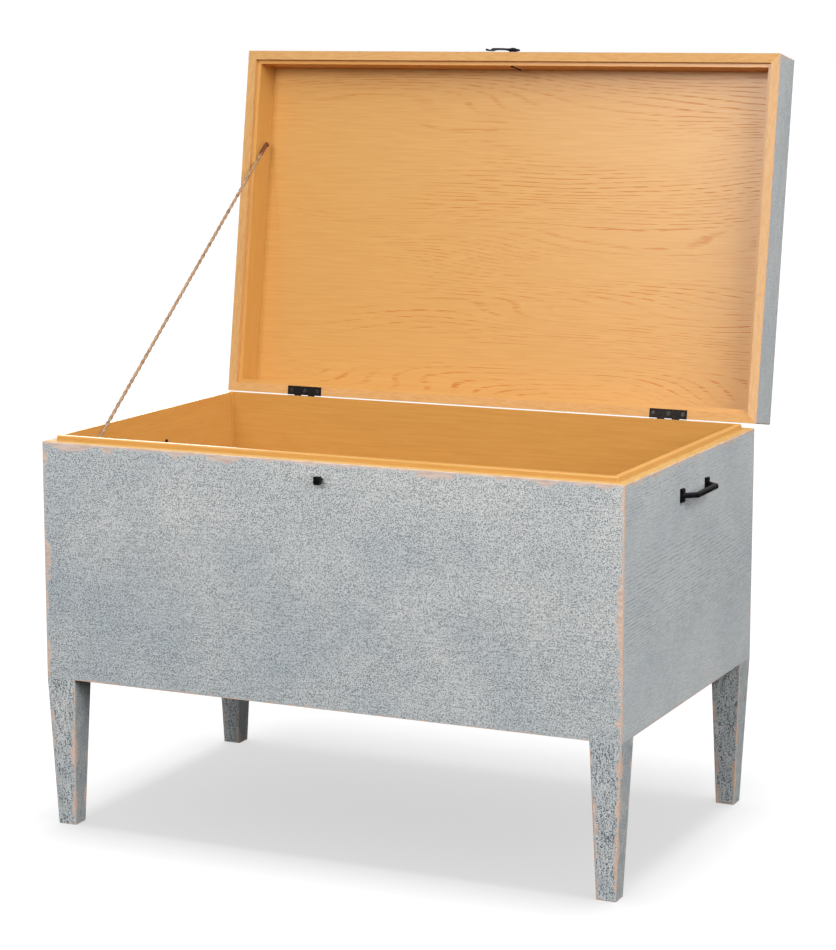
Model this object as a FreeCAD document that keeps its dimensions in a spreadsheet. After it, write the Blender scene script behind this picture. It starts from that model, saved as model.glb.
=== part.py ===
import FreeCAD
import Part
import Sketcher
import os
import re

# Trunk side table: a lined box with a hinged lid, on four square tapered legs. Millimetres.
# Everything is drawn about the middle of the box's footprint on the floor, +X to the right,
# +Y to the back, with the lid shut. At the end the lid is turned open about its hinge pins,
# and all pieces are moved so that the origin is at the bottom centre of the open table.

SIZES = [
    ("width", 750, "box and lid, outside, left to right"),
    ("depth", 462, "box and lid, outside, front to back"),
    ("leg_height", 186, "floor to the lower edge of the box"),
    ("box_height", 293, "lower edge of the box to its flat rim"),
    ("wall", 12.7, "box wall, which is also the flat rim"),
    ("edge_round", 1.5, "worn rounding of the outer edges"),
    ("liner", 6.3, "thin lining board inside each wall"),
    ("lip_height", 6.2, "how far the lining stands above the rim"),
    ("lip_round", 2, "rounding of the lip's outer edges"),
    ("floor_thickness", 9, "bottom board"),
    ("floor_recess", 20, "bottom board's underside above the walls' lower edge"),
    ("floor_groove", 6, "depth of the groove that holds the bottom board"),
    ("fit_gap", 0.2, "gap round a board, screw or bolt in its seat"),
    ("bead_side", 2.5, "square bead in the box's inner corners"),
    ("bead_drop", 1, "bead's end below the top of the lip"),
    ("leg_top", 39, "side of the leg where it meets the box"),
    ("leg_foot", 24, "side of the leg at the floor"),
    ("leg_round", 1.5, "rounding of the leg's long edges"),
    ("block_side", 62, "corner block under the bottom board"),
    ("block_cut", 34, "corner cut off the block's inner side"),
    ("bolt_dia", 6, "hanger bolt in the leg"),
    ("bolt_depth", 35, "hanger bolt's length in the leg"),
    ("insert_dia", 10, "threaded insert in the corner block"),
    ("insert_length", 15, "threaded insert, under its flange"),
    ("flange_dia", 13, "flange of the insert"),
    ("flange_thick", 1.5, "flange of the insert"),
    ("lid_height", 60, "lid, outside, rim to top"),
    ("lid_gap", 0.4, "gap between the two rims when shut"),
    ("lip_clearance", 0.9, "gap between the lip's side and the lid's rebate"),
    ("lip_headroom", 0.6, "gap between the lip's top and the lid's lining"),
    ("lid_liner", 5, "thin lining board inside each lid rail"),
    ("lid_liner_round", 0.5, "eased edges of the lid's lining"),
    ("panel_thick", 12, "top board of the lid"),
    ("panel_rebate", 6, "how far the top board lies on the rails"),
    ("open_angle", 98.7, "lid from shut to its stop, degrees"),
    ("hinge_inset", 116.5, "hinge centre in from the trunk's end"),
    ("hinge_length", 50, "leaf along the edge"),
    ("hinge_reach", 11.5, "leaf from the back face inwards"),
    ("leaf_thick", 1.5, "hinge leaf"),
    ("pivot_back", 4.4, "pin axis behind the back face"),
    ("knuckle_dia", 6.5, "rolled knuckle, outside"),
    ("knuckle_gap", 0.3, "gap between neighbouring knuckles"),
    ("pin_dia", 3, "hinge pin"),
    ("running_gap", 0.06, "radial clearance round a turning pin"),
    ("pin_head_dia", 5, "hinge pin's rivet head"),
    ("pin_head_thick", 1, "hinge pin's rivet head"),
    ("screw_dia", 3, "hinge screw's shank"),
    ("screw_head_dia", 5.6, "hinge screw's countersunk head"),
    ("screw_length", 16, "hinge screw"),
    ("screw_pitch", 19.6, "between hinge screws"),
    ("screw_inset", 6.2, "hinge screws from the back face"),
    ("stud_x", 2.2, "catch stud from the middle"),
    ("stud_drop", 20.5, "catch stud below the rim"),
    ("stud_width", 8.6, "square head of the stud"),
    ("stud_tall", 9.6, "square head of the stud"),
    ("stud_length", 4.8, "square head of the stud"),
    ("stud_round", 1.6, "corners of the square head"),
    ("neck_dia", 5, "round neck of the stud"),
    ("neck_length", 6.2, "neck between the wall and the head"),
    ("stud_shank_dia", 4, "threaded end in the wall"),
    ("stud_shank", 12, "threaded end in the wall"),
    ("hook_x", 9.5, "hook's pivot from the middle"),
    ("hook_rise", 10, "hook's pivot above the lid's rim"),
    ("hook_eye", 9, "radius of the hook round its pivot"),
    ("hook_arm", 32.0, "pivot to the middle of the mouth"),
    ("hook_tip", 6.4, "radius of the hook round its mouth"),
    ("hook_band", 8, "width of the hook's curved shank"),
    ("hook_bow", 14, "centre of the shank's curve above the pivot"),
    ("hook_thick", 1.9, "hook plate"),
    ("hook_stand", 2.9, "hook plate off the lid's front"),
    ("mouth_gap", 0.6, "play between the mouth and the stud's neck"),
    ("mouth_flare", 5, "radius of the mouth's lead-in"),
    ("flare_shift", 1, "lead-in's centre from the mouth's, towards the pivot"),
    ("flare_drop", 9.4, "lead-in's centre from the mouth's, outwards"),
    ("washer_dia", 10, "washer under the hook"),
    ("side_play", 0.1, "gap beside a part that turns"),
    ("hook_pin_dia", 4, "pin that the hook turns on"),
    ("hook_head_dia", 8, "domed head of the hook's pin"),
    ("hook_head", 1.6, "domed head of the hook's pin"),
    ("hook_head_round", 1.3, "rounding of the domed head"),
    ("clinch_dia", 1.8, "bent-over end of the hook's pin"),
    ("clinch_length", 14, "bent-over end of the hook's pin"),
    ("clinch_angle", 20, "slant of the bent-over end, degrees"),
    ("handle_drop", 41.5, "middle of the handle below the rim"),
    ("handle_right_y", 1, "right handle from the middle of the side"),
    ("handle_left_y", -10, "left handle from the middle of the side"),
    ("handle_feet", 88, "between the middles of the handle's feet"),
    ("handle_grip", 66, "straight bar of the handle"),
    ("handle_reach", 16, "middle of the bar from the wall"),
    ("handle_bar", 6.2, "thickness of the bar"),
    ("handle_round", 1.9, "rounding of the bar"),
    ("foot_width", 10, "foot plate of the handle"),
    ("foot_tall", 16, "foot plate of the handle"),
    ("foot_thick", 3.5, "foot plate of the handle"),
    ("foot_round", 0.8, "rounding of the foot plate"),
    ("handle_screw_dia", 3, "screw from inside into the foot plate"),
    ("handle_screw_rise", 5.2, "screw above or below the foot's middle"),
    ("handle_screw_bite", 2.6, "screw's length in the foot plate"),
    ("handle_head_dia", 5.5, "pan head of the handle screw"),
    ("handle_head", 2, "pan head of the handle screw"),
    ("handle_head_round", 1.2, "rounding of the pan head"),
    ("rope_dia", 4.8, "twisted stay rope"),
    ("sleeve_dia", 5.1, "bound end of the rope"),
    ("sleeve_length", 22, "bound end of the rope"),
    ("sleeve_end", 4, "screw from the end of the sleeve"),
    ("stay_reach", 337, "upper screw from the lid's back face"),
    ("stay_rise", 29.3, "upper screw above the lid's rim"),
    ("stay_inset", 60, "lower screw from the box's front face"),
    ("stay_drop", 36.5, "lower screw below the box's rim"),
    ("stay_screw_dia", 2.4, "screw through the sleeve"),
    ("stay_screw_length", 14, "screw in the wood"),
    ("stay_head_dia", 4.2, "round head of the stay screw"),
    ("stay_head", 1.3, "round head of the stay screw"),
    ("stay_head_round", 1.1, "rounding of the round head"),
]

CUT_MARGIN = 5  # how far a cutting shape runs past what it cuts
TURNS = {
    "x": FreeCAD.Rotation(FreeCAD.Vector(0, 1, 0), 90),
    "-x": FreeCAD.Rotation(FreeCAD.Vector(0, 1, 0), -90),
    "y": FreeCAD.Rotation(FreeCAD.Vector(1, 0, 0), -90),
    "-y": FreeCAD.Rotation(FreeCAD.Vector(1, 0, 0), 90),
    "z": FreeCAD.Rotation(),
    "-z": FreeCAD.Rotation(FreeCAD.Vector(1, 0, 0), 180),
}

doc = FreeCAD.newDocument("trunk_side_table")
dims = doc.addObject("Spreadsheet::Sheet", "dims")
for row, (alias, size, note) in enumerate(SIZES, start=1):
    dims.set("A%d" % row, alias)
    dims.set("B%d" % row, str(size))
    dims.set("C%d" % row, note)
    dims.setAlias("B%d" % row, alias)
doc.recompute()
aliases = {alias for alias, size, note in SIZES}

# Places that several pieces share, as formulas of the sheet's values
BOX_TOP = "(leg_height + box_height)"
FLOOR_TOP = "(leg_height + floor_recess + floor_thickness)"
RIM = "(leg_height + box_height + lid_gap)"
RAIL = "(wall - lip_clearance)"
LEDGE = "(lip_height + lip_headroom - lid_gap)"
PIVOT_Y = "(depth / 2 + pivot_back)"
PIVOT_Z = "(leg_height + box_height + lid_gap / 2)"

trunk_pieces = []
lid_pieces = []
hook_pieces = []
open_pieces = []  # on the lid, but drawn where they lie while it is open


def formula(text):
    # words that are aliases of the sheet become references to it
    return re.sub(r"[a-z_]+", lambda m: "dims." + m.group() if m.group() in aliases else m.group(), text)


def value(text):
    return float(dims.evalExpression(formula(text)))


def new_piece(label, group):
    body = doc.addObject("PartDesign::Body", label)
    body.Label = label
    body.AllowCompound = True
    group.append(body)
    return body


def put(thing, place, turn="z"):
    thing.Placement = FreeCAD.Placement(FreeCAD.Vector(*(value(text) for text in place)), TURNS[turn])
    for axis, text in zip("xyz", place):
        thing.setExpression("Placement.Base." + axis, formula(text))


def block(body, corner, size, cut=False):
    box = body.newObject("PartDesign::SubtractiveBox" if cut else "PartDesign::AdditiveBox", "block")
    put(box, corner)
    for side, text in zip(("Length", "Width", "Height"), size):
        box.setExpression(side, formula(text))
    return box


def rod(body, start, turn, radius, length, cut=False):
    kind = "PartDesign::SubtractiveCylinder" if cut else "PartDesign::AdditiveCylinder"
    cylinder = body.newObject(kind, "rod")
    put(cylinder, start, turn)
    cylinder.setExpression("Radius", formula(radius))
    cylinder.setExpression("Height", formula(length))
    return cylinder


def taper(body, start, turn, radius_start, radius_end, length, cut=False):
    cone = body.newObject("PartDesign::SubtractiveCone" if cut else "PartDesign::AdditiveCone", "taper")
    put(cone, start, turn)
    cone.setExpression("Radius1", formula(radius_start))
    cone.setExpression("Radius2", formula(radius_end))
    cone.setExpression("Height", formula(length))
    return cone


def outline(body, corners, height):
    # closed outline in a level plane at the given height, each corner held to two formulas
    sketch = body.newObject("Sketcher::SketchObject", "outline")
    level = [plane for plane in body.Origin.OriginFeatures if plane.Role == "XY_Plane"][0]
    sketch.AttachmentSupport = [(level, "")]
    sketch.MapMode = "FlatFace"
    sketch.setExpression("AttachmentOffset.Base.z", formula(height))
    points = [FreeCAD.Vector(value(x), value(y), 0) for x, y in corners]
    for start, end in zip(points, points[1:] + points[:1]):
        sketch.addGeometry(Part.LineSegment(start, end), False)
    for line in range(len(points)):
        following = (line + 1) % len(points)
        sketch.addConstraint(Sketcher.Constraint("Coincident", line, 2, following, 1))
    for line, (x, y) in enumerate(corners):
        for kind, text, size in (("DistanceX", x, points[line].x), ("DistanceY", y, points[line].y)):
            index = sketch.addConstraint(Sketcher.Constraint(kind, -1, 1, line, 1, size))
            sketch.setExpression("Constraints[%d]" % index, formula(text))
    return sketch


def round_edges(body, radius, choose):
    doc.recompute()
    before = body.Tip
    edges = ["Edge%d" % n for n, edge in enumerate(before.Shape.Edges, start=1) if choose(edge)]
    if not edges:
        raise RuntimeError("no edge to round on " + body.Label)
    fillet = body.newObject("PartDesign::Fillet", "rounding")
    fillet.Base = (before, edges)
    fillet.setExpression("Radius", formula(radius))


def upright(edge):
    ends = [vertex.Point for vertex in edge.Vertexes]
    return len(ends) == 2 and abs(ends[0].x - ends[1].x) + abs(ends[0].y - ends[1].y) < 0.01


def at_height(edge, height):
    return all(abs(vertex.Z - height) < 0.01 for vertex in edge.Vertexes)


def frame_side(label, group, side, half, foot, height, thickness, rounding):
    # One mitred board of a four-sided frame: the frame's whole block with its outer edges
    # rounded, less everything but this side.
    across, out = half if side in ("front", "back") else (half[1], half[0])
    body = new_piece(label, group)
    block(body, ["-" + half[0], "-" + half[1], foot], ["2 * " + half[0], "2 * " + half[1], height])
    top = value(foot) + value(height)
    round_edges(body, rounding, lambda edge: upright(edge) or at_height(edge, top))
    doc.recompute()
    before = body.Shape.Volume
    rest = [
        ("-%s - %d" % (across, CUT_MARGIN), "%s + %d" % (out, CUT_MARGIN)),
        ("-%s + %s" % (across, thickness), "%s - %s" % (out, thickness)),
        ("%s - %s" % (across, thickness), "%s - %s" % (out, thickness)),
        ("%s + %d" % (across, CUT_MARGIN), "%s + %d" % (out, CUT_MARGIN)),
        ("%s + %d" % (across, CUT_MARGIN), "-%s - %d" % (out, CUT_MARGIN)),
        ("-%s - %d" % (across, CUT_MARGIN), "-%s - %d" % (out, CUT_MARGIN)),
    ]
    turned = {
        "front": lambda a, b: (a, "-(%s)" % b),
        "back": lambda a, b: (a, b),
        "left": lambda a, b: ("-(%s)" % b, a),
        "right": lambda a, b: (b, a),
    }
    sketch = outline(body, [turned[side](a, b) for a, b in rest], "%s + %s" % (foot, height))
    pocket = body.newObject("PartDesign::Pocket", "rest_of_frame")
    pocket.Profile = sketch
    pocket.Type = "ThroughAll"
    doc.recompute()
    if body.Shape.Volume > 0.6 * before:
        raise RuntimeError("the pocket cut nothing off " + label)
    return body


# Box walls, with a groove for the bottom board
HALF_BOX = ("(width / 2)", "(depth / 2)")
GROOVE_INSET = "(wall - floor_groove)"
walls = {}
for side in ("front", "back", "left", "right"):
    walls[side] = frame_side(side + "_wall", trunk_pieces, side, HALF_BOX, "leg_height", "box_height",
                             "wall", "edge_round")
    block(walls[side],
          ["-width / 2 + " + GROOVE_INSET, "-depth / 2 + " + GROOVE_INSET, "leg_height + floor_recess"],
          ["width - 2 * " + GROOVE_INSET, "depth - 2 * " + GROOVE_INSET, "floor_thickness"], cut=True)

# Lining boards, which stand on the bottom board and above the rim as the lid's lip
HALF_INSIDE = ("(width / 2 - wall)", "(depth / 2 - wall)")
LINER_HEIGHT = "(box_height - floor_recess - floor_thickness + lip_height)"
liners = {}
for side in ("front", "back", "left", "right"):
    liners[side] = frame_side(side + "_liner", trunk_pieces, side, HALF_INSIDE, FLOOR_TOP, LINER_HEIGHT,
                              "liner", "lip_round")

floor_board = new_piece("floor_board", trunk_pieces)
block(floor_board,
      ["-width / 2 + wall - floor_groove + fit_gap", "-depth / 2 + wall - floor_groove + fit_gap",
       "leg_height + floor_recess"],
      ["width - 2 * (wall - floor_groove + fit_gap)", "depth - 2 * (wall - floor_groove + fit_gap)",
       "floor_thickness"])

corner_beads = new_piece("corner_beads", trunk_pieces)
for x in ("-width / 2 + wall + liner", "width / 2 - wall - liner - bead_side"):
    for y in ("-depth / 2 + wall + liner", "depth / 2 - wall - liner - bead_side"):
        block(corner_beads, [x, y, FLOOR_TOP], ["bead_side", "bead_side", LINER_HEIGHT + " - bead_drop"])

# Legs, each on a hanger bolt that turns into an insert in its corner block
leg_inserts = new_piece("leg_inserts", trunk_pieces)
leg_bolts = new_piece("leg_bolts", trunk_pieces)
for end, y_sign in (("front", "-"), ("back", "")):
    for side, x_sign in (("left", "-"), ("right", "")):
        middle = (x_sign + "(width - leg_top) / 2", y_sign + "(depth - leg_top) / 2")
        leg = new_piece("leg_%s_%s" % (end, side), trunk_pieces)
        wedge = leg.newObject("PartDesign::AdditiveWedge", "taper")
        put(wedge, [*middle, "0"], "-y")
        for edge_name, text in (("min", "0 - leg_foot / 2"), ("max", "leg_foot / 2"),
                                ("2min", "0 - leg_top / 2"), ("2max", "leg_top / 2")):
            wedge.setExpression("X" + edge_name, formula(text))
            wedge.setExpression("Z" + edge_name, formula(text))
        wedge.setExpression("Ymin", "0")
        wedge.setExpression("Ymax", formula("leg_height"))
        top_of_leg = value("leg_height")
        round_edges(leg, "leg_round",
                    lambda edge: not at_height(edge, 0) and not at_height(edge, top_of_leg))
        rod(leg, [*middle, "leg_height"], "-z", "bolt_dia / 2 + fit_gap", "bolt_depth + fit_gap", cut=True)

        wood = new_piece("corner_block_%s_%s" % (end, side), trunk_pieces)
        inward = {"-": "+", "": "-"}
        corner_x = "%s(width / 2 - wall)" % x_sign
        corner_y = "%s(depth / 2 - wall)" % y_sign
        steps = [("0", "0"), ("block_side", "0"), ("block_side", "(block_side - block_cut)"),
                 ("(block_side - block_cut)", "block_side"), ("0", "block_side")]
        corners = []
        for a, b in steps:
            corners.append((corner_x + inward[x_sign] + a, corner_y + inward[y_sign] + b))
        pad = wood.newObject("PartDesign::Pad", "block")
        pad.Profile = outline(wood, corners, "leg_height")
        pad.setExpression("Length", formula("floor_recess"))
        block_top = [*middle, "leg_height + floor_recess"]
        rod(wood, block_top, "-z", "flange_dia / 2 + fit_gap", "flange_thick", cut=True)
        rod(wood, block_top, "-z", "insert_dia / 2 + fit_gap", "flange_thick + insert_length", cut=True)
        rod(wood, block_top, "-z", "bolt_dia / 2 + fit_gap", "floor_recess", cut=True)

        rod(leg_inserts, block_top, "-z", "flange_dia / 2", "flange_thick")
        rod(leg_inserts, block_top, "-z", "insert_dia / 2", "flange_thick + insert_length")
        rod(leg_inserts, block_top, "-z", "bolt_dia / 2 + running_gap", "flange_thick + insert_length",
            cut=True)
        rod(leg_bolts, [*middle, "leg_height - bolt_depth"], "z", "bolt_dia / 2",
            "bolt_depth + floor_recess - flange_thick")

# Lid rails, lining and top board
HALF_LID_INSIDE = ("(width / 2 - %s)" % RAIL, "(depth / 2 - %s)" % RAIL)
REBATE_INSET = "(%s - panel_rebate)" % RAIL
PANEL_FOOT = RIM + " + lid_height - panel_thick"
rails = {}
lid_liners = {}
for side in ("front", "back", "left", "right"):
    rails[side] = frame_side("lid_%s_rail" % side, lid_pieces, side, HALF_BOX, RIM, "lid_height", RAIL,
                             "edge_round")
    block(rails[side], ["-width / 2 + " + REBATE_INSET, "-depth / 2 + " + REBATE_INSET, PANEL_FOOT],
          ["width - 2 * " + REBATE_INSET, "depth - 2 * " + REBATE_INSET, "panel_thick + %d" % CUT_MARGIN],
          cut=True)
    lid_liners[side] = frame_side("lid_%s_liner" % side, lid_pieces, side, HALF_LID_INSIDE,
                                  RIM + " + " + LEDGE, "(lid_height - panel_thick - %s)" % LEDGE,
                                  "lid_liner", "lid_liner_round")

lid_panel = new_piece("lid_panel", lid_pieces)
block(lid_panel,
      ["-width / 2 + %s + fit_gap" % REBATE_INSET, "-depth / 2 + %s + fit_gap" % REBATE_INSET, PANEL_FOOT],
      ["width - 2 * (%s + fit_gap)" % REBATE_INSET, "depth - 2 * (%s + fit_gap)" % REBATE_INSET,
       "panel_thick"])

# Butt hinges: five knuckles, three on the box leaf and two on the lid leaf
trunk_hinge_screws = new_piece("trunk_hinge_screws", trunk_pieces)
lid_hinge_screws = new_piece("lid_hinge_screws", lid_pieces)
KNUCKLE = "(hinge_length / 5)"
PLATE_END = "(pivot_back - knuckle_dia / 2 - 3 * knuckle_gap)"


def hinge_leaf(label, group, centre, knuckles, seat, screws, wood):
    # seat is the rim that the leaf is let into; down is the way from the leaf into the wood
    on_box = group is trunk_pieces
    foot = seat + " - leaf_thick" if on_box else seat
    down = "-z" if on_box else "z"
    start = "%s - hinge_length / 2" % centre
    plate = [start, "depth / 2 - hinge_reach", foot]
    leaf = new_piece(label, group)
    block(leaf, plate, ["hinge_length", "hinge_reach + " + PLATE_END, "leaf_thick"])
    for number in knuckles:
        at = "%s + %d * %s + knuckle_gap / 2" % (start, number, KNUCKLE)
        long = KNUCKLE + " - knuckle_gap"
        block(leaf, [at, "depth / 2 + %s" % PLATE_END, foot],
              [long, "pivot_back - " + PLATE_END, "leaf_thick"])
        rod(leaf, [at, PIVOT_Y, PIVOT_Z], "x", "knuckle_dia / 2", long)
    rod(leaf, ["%s - %d" % (start, CUT_MARGIN), PIVOT_Y, PIVOT_Z], "x", "pin_dia / 2 + running_gap",
        "hinge_length + %d" % (2 * CUT_MARGIN), cut=True)
    block(wood, ["%s - fit_gap" % start, "depth / 2 - hinge_reach - fit_gap", foot],
          ["hinge_length + 2 * fit_gap", "hinge_reach + 2 * fit_gap", "leaf_thick"], cut=True)
    for step in (-1, 0, 1):
        head = ["%s + %d * screw_pitch" % (centre, step), "depth / 2 - screw_inset", seat]
        taper(leaf, head, down, "screw_head_dia / 2 + fit_gap", "screw_dia / 2 + fit_gap", "leaf_thick",
              cut=True)
        taper(screws, head, down, "screw_head_dia / 2", "screw_dia / 2", "leaf_thick")
        rod(screws, head, down, "screw_dia / 2", "screw_length")
        rod(wood, head, down, "screw_dia / 2 + fit_gap", "screw_length + fit_gap", cut=True)


for side, centre in (("left", "(hinge_inset - width / 2)"), ("right", "(width / 2 - hinge_inset)")):
    hinge_leaf(side + "_hinge_box_leaf", trunk_pieces, centre, (0, 2, 4), BOX_TOP, trunk_hinge_screws,
               walls["back"])
    hinge_leaf(side + "_hinge_lid_leaf", lid_pieces, centre, (1, 3), RIM, lid_hinge_screws, rails["back"])
    hinge_pin = new_piece(side + "_hinge_pin", trunk_pieces)
    left_end = "%s - hinge_length / 2 - side_play" % centre
    rod(hinge_pin, [left_end, PIVOT_Y, PIVOT_Z], "x", "pin_dia / 2", "hinge_length + 2 * side_play")
    rod(hinge_pin, [left_end, PIVOT_Y, PIVOT_Z], "-x", "pin_head_dia / 2", "pin_head_thick")
    rod(hinge_pin, ["%s + hinge_length / 2 + side_play" % centre, PIVOT_Y, PIVOT_Z], "x", "pin_head_dia / 2",
        "pin_head_thick")

# Catch stud on the box front: square head on a round neck
STUD_Z = BOX_TOP + " - stud_drop"
catch_stud = new_piece("catch_stud", trunk_pieces)
block(catch_stud,
      ["stud_x - stud_width / 2", "-depth / 2 - neck_length - stud_length", STUD_Z + " - stud_tall / 2"],
      ["stud_width", "stud_length", "stud_tall"])
round_edges(catch_stud, "stud_round", lambda edge: edge.Vertexes[0].Y != edge.Vertexes[1].Y)
rod(catch_stud, ["stud_x", "-depth / 2 - neck_length", STUD_Z], "y", "neck_dia / 2", "neck_length")
rod(catch_stud, ["stud_x", "-depth / 2", STUD_Z], "y", "stud_shank_dia / 2", "stud_shank")
rod(walls["front"], ["stud_x", "-depth / 2", STUD_Z], "y", "stud_shank_dia / 2 + fit_gap",
    "stud_shank + fit_gap", cut=True)

# Swing hook on the lid front: an eye, a bowed shank and a mouth that goes over the stud's neck
HOOK_Z = RIM + " + hook_rise"
BOW_X = "hook_x - hook_arm / 2"
BOW_Z = HOOK_Z + " + hook_bow"
BOW_RADIUS = "sqrt(hook_arm * hook_arm / 4 + hook_bow * hook_bow)"
MOUTH_X = "hook_x - hook_arm"
MOUTH = "(neck_dia / 2 + mouth_gap)"
PAST_HOOK = "(hook_stand + hook_thick + %d)" % CUT_MARGIN
hook = new_piece("hook", hook_pieces)


def hook_disc(x, z, radius):
    rod(hook, [x, "-depth / 2 - hook_stand", z], "-y", radius, "hook_thick")


def hook_hole(x, z, radius):
    rod(hook, [x, "-depth / 2", z], "-y", radius, PAST_HOOK, cut=True)


def hook_slot(x, z, width, height):
    block(hook, [x, "-depth / 2 - " + PAST_HOOK, z], [width, PAST_HOOK, height], cut=True)


hook_disc(BOW_X, BOW_Z, BOW_RADIUS + " + hook_band / 2")
hook_hole(BOW_X, BOW_Z, BOW_RADIUS + " - hook_band / 2")
hook_slot(BOW_X + " - 2 * hook_arm", HOOK_Z, "4 * hook_arm", "4 * hook_arm")
hook_disc("hook_x", HOOK_Z, "hook_eye")
hook_disc(MOUTH_X, HOOK_Z, "hook_tip")
hook_hole("hook_x", HOOK_Z, "hook_pin_dia / 2 + running_gap")
hook_hole(MOUTH_X, HOOK_Z, MOUTH)
hook_slot("%s - %s" % (MOUTH_X, MOUTH), HOOK_Z + " - 2 * hook_band", "2 * " + MOUTH, "2 * hook_band")
hook_hole(MOUTH_X + " + flare_shift", HOOK_Z + " - flare_drop", "mouth_flare")

hook_washer = new_piece("hook_washer", lid_pieces)
rod(hook_washer, ["hook_x", "-depth / 2", HOOK_Z], "-y", "washer_dia / 2", "hook_stand - side_play")
rod(hook_washer, ["hook_x", "-depth / 2", HOOK_Z], "-y", "hook_pin_dia / 2 + running_gap", PAST_HOOK,
    cut=True)

# The hook's pin goes through the lid's front, and its thin end is bent over inside
hook_pin = new_piece("hook_pin", lid_pieces)
HEAD_SEAT = "-depth / 2 - hook_stand - hook_thick - side_play"
LID_SKIN = "(%s + lid_liner)" % RAIL
rod(hook_pin, ["hook_x", HEAD_SEAT, HOOK_Z], "-y", "hook_head_dia / 2", "hook_head")
front_of_head = value(HEAD_SEAT + " - hook_head")
round_edges(hook_pin, "hook_head_round",
            lambda edge: all(abs(vertex.Y - front_of_head) < 0.01 for vertex in edge.Vertexes))
rod(hook_pin, ["hook_x", HEAD_SEAT, HOOK_Z], "y", "hook_pin_dia / 2",
    "hook_thick + hook_stand + 2 * side_play + %s + clinch_dia" % LID_SKIN)
clinch = rod(hook_pin, ["hook_x", "-depth / 2 + %s + side_play + clinch_dia / 2" % LID_SKIN, HOOK_Z], "x",
             "clinch_dia / 2", "clinch_length")
slant = FreeCAD.Rotation(FreeCAD.Vector(0, 0, 1), value("clinch_angle"))
clinch.Placement = FreeCAD.Placement(clinch.Placement.Base, slant * TURNS["x"])
for wood in (rails["front"], lid_liners["front"]):
    rod(wood, ["hook_x", "-depth / 2", HOOK_Z], "y", "hook_pin_dia / 2 + fit_gap",
        "%s + %d" % (LID_SKIN, CUT_MARGIN), cut=True)

# Side handles: a straight grip on two slanting arms, each arm on a foot plate that two screws
# hold from inside the box
HANDLE_Z = BOX_TOP + " - handle_drop"
HALF_BAR = "handle_bar / 2"
SPLAY = "((handle_feet - handle_grip) / 2 / (handle_reach - foot_thick))"
ARM_HALF = "(%s * sqrt(1 + %s * %s))" % (HALF_BAR, SPLAY, SPLAY)
KNEE_IN = "(handle_grip / 2 + %s * %s - %s)" % (HALF_BAR, SPLAY, ARM_HALF)
KNEE_OUT = "(handle_grip / 2 - %s * %s + %s)" % (HALF_BAR, SPLAY, ARM_HALF)


def handle(side, sign, middle):
    piece = new_piece(side + "_handle", trunk_pieces)
    screws = new_piece(side + "_handle_screws", trunk_pieces)
    inward = "x" if sign else "-x"
    face = sign + "width / 2"
    plus = "-" if sign else "+"
    minus = "+" if sign else "-"
    plate_face = value("%s %s foot_thick" % (face, plus))
    for end in ("-", "+"):
        foot = "%s %s handle_feet / 2" % (middle, end)
        plate_x = "%s %s" % (face, "- foot_thick" if sign else "")
        block(piece, [plate_x, foot + " - foot_width / 2", HANDLE_Z + " - foot_tall / 2"],
              ["foot_thick", "foot_width", "foot_tall"])
    round_edges(piece, "foot_round",
                lambda edge: all(abs(vertex.X - plate_face) < 0.01 for vertex in edge.Vertexes))
    half = [("foot_thick", "(handle_feet / 2 - %s)" % ARM_HALF),
            ("(handle_reach - %s)" % HALF_BAR, KNEE_IN)]
    other_half = [("(handle_reach + %s)" % HALF_BAR, KNEE_OUT),
                  ("foot_thick", "(handle_feet / 2 + %s)" % ARM_HALF)]
    corners = [(out, "%s + %s" % (middle, along)) for out, along in half]
    corners += [(out, "%s - %s" % (middle, along)) for out, along in reversed(half)]
    corners += [(out, "%s - %s" % (middle, along)) for out, along in reversed(other_half)]
    corners += [(out, "%s + %s" % (middle, along)) for out, along in other_half]
    corners = [("%s %s %s" % (face, plus, out), along) for out, along in corners]
    pad = piece.newObject("PartDesign::Pad", "grip")
    pad.Profile = outline(piece, corners, "%s - %s" % (HANDLE_Z, HALF_BAR))
    pad.setExpression("Length", formula("handle_bar"))
    round_edges(piece, "handle_round",
                lambda edge: max(abs(vertex.X) for vertex in edge.Vertexes) > abs(plate_face) + 0.1)
    for end in ("-", "+"):
        foot = "%s %s handle_feet / 2" % (middle, end)
        for rise in ("-", "+"):
            place = [foot, "%s %s handle_screw_rise" % (HANDLE_Z, rise)]
            tip = ["%s %s handle_screw_bite" % (face, plus), *place]
            rod(screws, tip, inward, "handle_screw_dia / 2", "handle_screw_bite + wall + liner")
            rod(screws, ["%s %s wall %s liner" % (face, minus, minus), *place], inward,
                "handle_head_dia / 2", "handle_head")
            for drilled in (piece, walls[side], liners[side]):
                hole = ["%s %s (handle_screw_bite + fit_gap)" % (face, plus), *place]
                rod(drilled, hole, inward, "handle_screw_dia / 2 + fit_gap",
                    "handle_screw_bite + wall + liner + %d" % CUT_MARGIN, cut=True)
    top_of_head = value("width / 2 - wall - liner - handle_head")
    round_edges(screws, "handle_head_round",
                lambda edge: all(abs(abs(vertex.X) - top_of_head) < 0.01 for vertex in edge.Vertexes))


handle("left", "-", "handle_left_y")
handle("right", "", "handle_right_y")

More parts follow.
